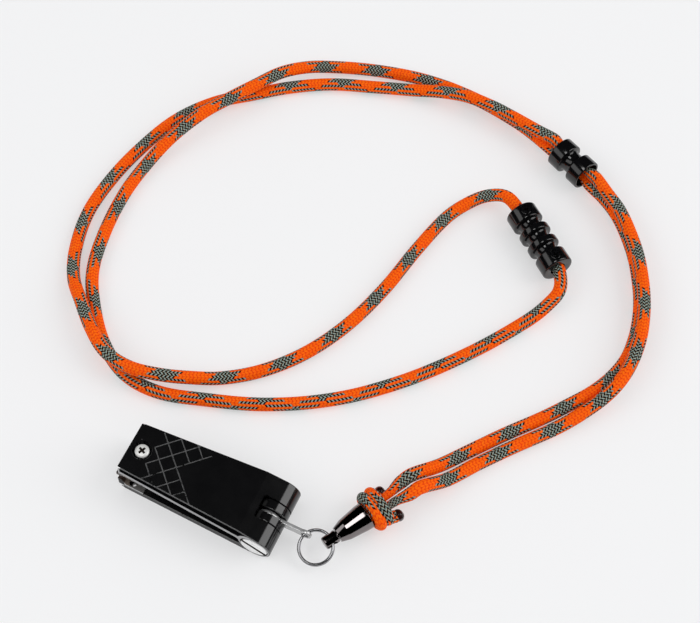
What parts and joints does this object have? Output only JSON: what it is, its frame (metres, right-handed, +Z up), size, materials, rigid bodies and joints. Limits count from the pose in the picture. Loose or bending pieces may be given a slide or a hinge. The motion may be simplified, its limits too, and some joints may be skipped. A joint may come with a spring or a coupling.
{
  "type": "lanyard line nipper",
  "caption": "Pocket line nipper with sprung hinged levers and steel jaws, hung on a doubled cord neck lanyard with a swivel, a slider bead and a breakaway connector.",
  "frame": {"origin": "on the lower lever's flat underside, midway along its length, where the tool lies on its surface", "axes": "+X along the tool from the jaws to the hinge, +Y across it, +Z up from the surface it lies on"},
  "size_m": [0.1679, 0.1653, 0.013],
  "materials": {
    "anodised_black": "black anodised, satin, worn silver on the edges",
    "jaw_steel": "ground, dark brown at the cutting lips",
    "nickel": "polished nickel",
    "gunmetal": "polished dark nickel",
    "spring_steel": "drawn wire",
    "gloss_black": "glossy",
    "paracord": "braided, orange with dark teal camouflage patches",
    "melted_cord": "melted, dark"
  },
  "bodies": {
    "lower_arm": {"lower_lever": "anodised_black", "lower_jaw": "jaw_steel", "lower_jaw_screw": "nickel", "hinge_screw": "nickel", "hinge_nut": "nickel", "lever_spring": "spring_steel"},
    "upper_arm": {"upper_lever": "anodised_black", "upper_jaw": "jaw_steel", "upper_jaw_screw": "nickel", "eye_needle": "nickel"},
    "link": {"lanyard_link": "nickel"},
    "ring": {"split_ring": "nickel"},
    "stem": {"swivel_stem": "gunmetal"},
    "cord_end": {"ferrule_body": "gunmetal", "wrap_knot": "paracord", "melted_end_left": "melted_cord", "melted_end_right": "melted_cord", "strand_a": "paracord", "strand_b": "paracord", "connector_tube": "gloss_black", "set_screw_upper": "gloss_black", "set_screw_lower": "gloss_black"},
    "slider": {"slider_bead": "gloss_black"}
  },
  "joints": [
    {"name": "lever_hinge", "type": "hinge", "parent": "lower_arm", "child": "upper_arm", "pos_m": [0.02, 0, 0.00485], "axis": [0, 1, 0], "range_deg": [-2.7, 0], "stiffness_Nm_per_rad": 0.05, "springref_deg": 5.73, "deforming": ["lever_spring"]},
    {"name": "link_swing", "type": "hinge", "parent": "lower_arm", "child": "link", "pos_m": [0.02, 0, 0.00485], "axis": [0, 1, 0], "range_deg": [-70, 45]},
    {"name": "ring_swing", "type": "hinge", "parent": "link", "child": "ring", "pos_m": [0.0306, 0, 0.0042], "axis": [0.4811, 0.8493, 0.2174], "range_deg": [-30, 30]},
    {"name": "stem_swing", "type": "hinge", "parent": "ring", "child": "stem", "pos_m": [0.0375, 0.0013, 0.0047], "axis": [0.7812, -0.6115, -0.126], "range_deg": [-30, 30]},
    {"name": "cord_swivel", "type": "hinge", "parent": "stem", "child": "cord_end", "pos_m": [0.0375, 0.0013, 0.0047], "axis": [0.4988, 0.8639, 0.0698], "continuous": true},
    {"name": "bead_slide", "type": "slide", "parent": "cord_end", "child": "slider", "axis": [0.9011, -0.4337, 0], "range_m": [-0.003, 0.003]}
  ]
}
